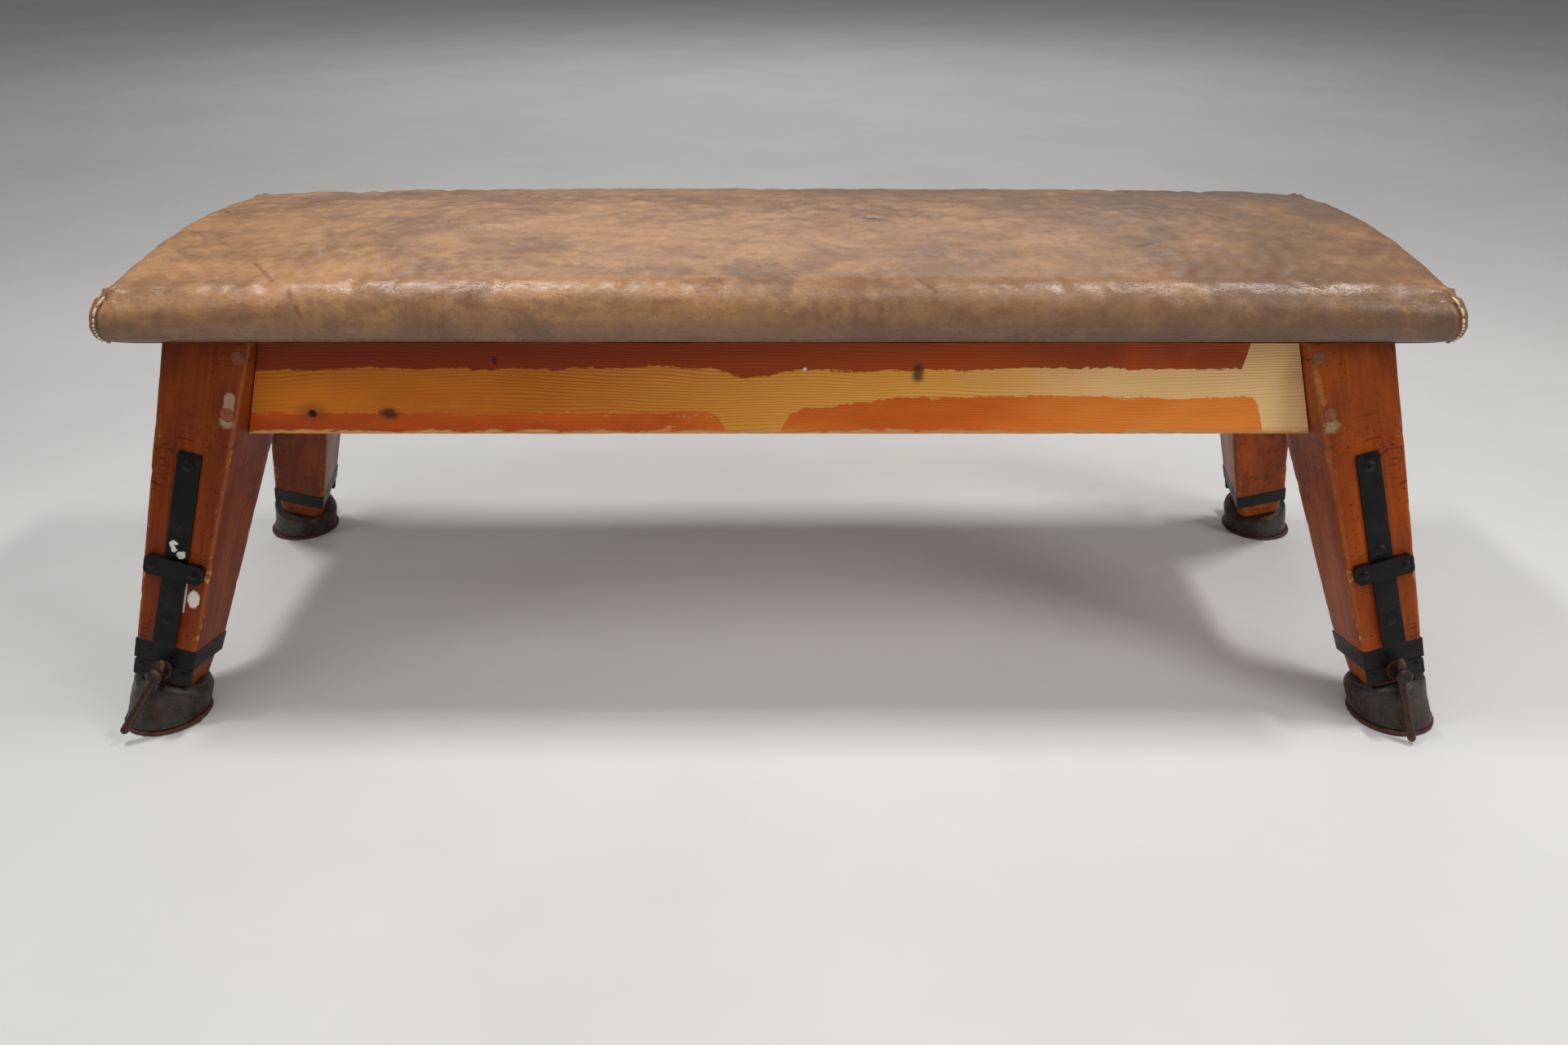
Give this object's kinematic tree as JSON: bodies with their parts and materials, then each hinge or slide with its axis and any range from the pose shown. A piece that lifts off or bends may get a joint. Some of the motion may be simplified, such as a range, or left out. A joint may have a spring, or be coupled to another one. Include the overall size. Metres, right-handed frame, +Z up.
{
  "type": "padded gymnastics bench",
  "caption": "Low padded balance and vaulting bench: a crowned leather top on a pine frame and splayed wooden legs with telescoping shod feet, latches and clamps.",
  "frame": {"origin": "on the floor under the middle of the bench", "axes": "+X along the bench towards its right end, -Y towards its front, +Z up"},
  "size_m": [1.6582, 0.6314, 0.568],
  "materials": {
    "cover_leather": "worn tan-brown leather, satin where hands and feet have polished it",
    "stuffing": "matte horsehair and felt",
    "raw_pine": "raw planed pine",
    "varnished_pine": "orange varnish, worn to bare pine along the middle",
    "varnished_beech": "red-brown varnish, satin, worn light along the edges",
    "plug_wood": "end grain, satin",
    "black_iron": "black stove paint, worn on the edges",
    "screw_steel": "dull steel",
    "brass": "tarnished brass",
    "post_steel": "dull drawn steel",
    "shoe_metal": "dark sheet metal with a green-grey patina and rust",
    "sole_leather": "rough sole leather",
    "spindle_steel": "dark oiled steel",
    "lever_iron": "red-brown oxidised iron"
  },
  "bodies": {
    "bench": {"leather_cover": "cover_leather", "padding": "stuffing", "top_board": "raw_pine", "front_apron": "varnished_pine", "rear_apron": "varnished_pine", "left_end_rail": "varnished_pine", "right_end_rail": "varnished_pine", "cross_battens": "raw_pine", "cover_tacks": "black_iron", "board_screws": "screw_steel", "keeper_screws": "black_iron", "strap_screws": "black_iron", "plate_screws": "black_iron", "dowel_plugs": "plug_wood", "spindle_washers": "brass", "leg_front_left": "varnished_beech", "leg_front_right": "varnished_beech", "leg_rear_left": "varnished_beech", "leg_rear_right": "varnished_beech", "ferrule_front_left": "black_iron", "ferrule_front_right": "black_iron", "ferrule_rear_left": "black_iron", "ferrule_rear_right": "black_iron", "keeper_front_left": "black_iron", "keeper_front_right": "black_iron", "keeper_rear_left": "black_iron", "keeper_rear_right": "black_iron", "strap_plate_front_left": "black_iron", "strap_plate_front_right": "black_iron", "strap_plate_rear_left": "black_iron", "strap_plate_rear_right": "black_iron", "clamp_plate_front_left": "black_iron", "clamp_plate_front_right": "black_iron", "clamp_plate_rear_left": "black_iron", "clamp_plate_rear_right": "black_iron"},
    "foot_front_left": {"post_front_left": "post_steel", "shoe_front_left": "shoe_metal", "sole_front_left": "sole_leather"},
    "latch_front_left": {"latch_tongue_front_left": "black_iron"},
    "clamp_front_left": {"clamp_spindle_front_left": "spindle_steel", "clamp_lever_front_left": "lever_iron"},
    "foot_front_right": {"post_front_right": "post_steel", "shoe_front_right": "shoe_metal", "sole_front_right": "sole_leather"},
    "latch_front_right": {"latch_tongue_front_right": "black_iron"},
    "clamp_front_right": {"clamp_spindle_front_right": "spindle_steel", "clamp_lever_front_right": "lever_iron"},
    "foot_rear_left": {"post_rear_left": "post_steel", "shoe_rear_left": "shoe_metal", "sole_rear_left": "sole_leather"},
    "latch_rear_left": {"latch_tongue_rear_left": "black_iron"},
    "clamp_rear_left": {"clamp_spindle_rear_left": "spindle_steel", "clamp_lever_rear_left": "lever_iron"},
    "foot_rear_right": {"post_rear_right": "post_steel", "shoe_rear_right": "shoe_metal", "sole_rear_right": "sole_leather"},
    "latch_rear_right": {"latch_tongue_rear_right": "black_iron"},
    "clamp_rear_right": {"clamp_spindle_rear_right": "spindle_steel", "clamp_lever_rear_right": "lever_iron"}
  },
  "joints": [
    {"name": "foot_slide_front_left", "type": "slide", "parent": "bench", "child": "foot_front_left", "axis": [-0.274, -0.2359, -0.9324], "range_m": [0, 0.15]},
    {"name": "latch_flex_front_left", "type": "hinge", "parent": "bench", "child": "latch_front_left", "pos_m": [-0.71519, -0.24345, 0.2263], "axis": [-0.9617, 0.0672, 0.2656], "range_deg": [-2.2, 3], "stiffness_Nm_per_rad": 5},
    {"name": "clamp_turn_front_left", "type": "hinge", "parent": "bench", "child": "clamp_front_left", "pos_m": [-0.75728, -0.28286, 0.08384], "axis": [0.0201, 0.9841, -0.1763], "range_deg": [-90, 90]},
    {"name": "foot_slide_front_right", "type": "slide", "parent": "bench", "child": "foot_front_right", "axis": [0.274, -0.2359, -0.9324], "range_m": [0, 0.15]},
    {"name": "latch_flex_front_right", "type": "hinge", "parent": "bench", "child": "latch_front_right", "pos_m": [0.71519, -0.24345, 0.2263], "axis": [-0.9617, -0.0672, -0.2656], "range_deg": [-2.2, 3], "stiffness_Nm_per_rad": 5},
    {"name": "clamp_turn_front_right", "type": "hinge", "parent": "bench", "child": "clamp_front_right", "pos_m": [0.75728, -0.28286, 0.08384], "axis": [0.0201, -0.9841, 0.1763], "range_deg": [-90, 90]},
    {"name": "foot_slide_rear_left", "type": "slide", "parent": "bench", "child": "foot_rear_left", "axis": [-0.274, 0.2359, -0.9324], "range_m": [0, 0.15]},
    {"name": "latch_flex_rear_left", "type": "hinge", "parent": "bench", "child": "latch_rear_left", "pos_m": [-0.71519, 0.24345, 0.2263], "axis": [0.9617, 0.0672, -0.2656], "range_deg": [-2.2, 3], "stiffness_Nm_per_rad": 5},
    {"name": "clamp_turn_rear_left", "type": "hinge", "parent": "bench", "child": "clamp_rear_left", "pos_m": [-0.75728, 0.28286, 0.08384], "axis": [-0.0201, 0.9841, 0.1763], "range_deg": [-90, 90]},
    {"name": "foot_slide_rear_right", "type": "slide", "parent": "bench", "child": "foot_rear_right", "axis": [0.274, 0.2359, -0.9324], "range_m": [0, 0.15]},
    {"name": "latch_flex_rear_right", "type": "hinge", "parent": "bench", "child": "latch_rear_right", "pos_m": [0.71519, 0.24345, 0.2263], "axis": [0.9617, -0.0672, 0.2656], "range_deg": [-2.2, 3], "stiffness_Nm_per_rad": 5},
    {"name": "clamp_turn_rear_right", "type": "hinge", "parent": "bench", "child": "clamp_rear_right", "pos_m": [0.75728, 0.28286, 0.08384], "axis": [-0.0201, -0.9841, -0.1763], "range_deg": [-90, 90]}
  ]
}
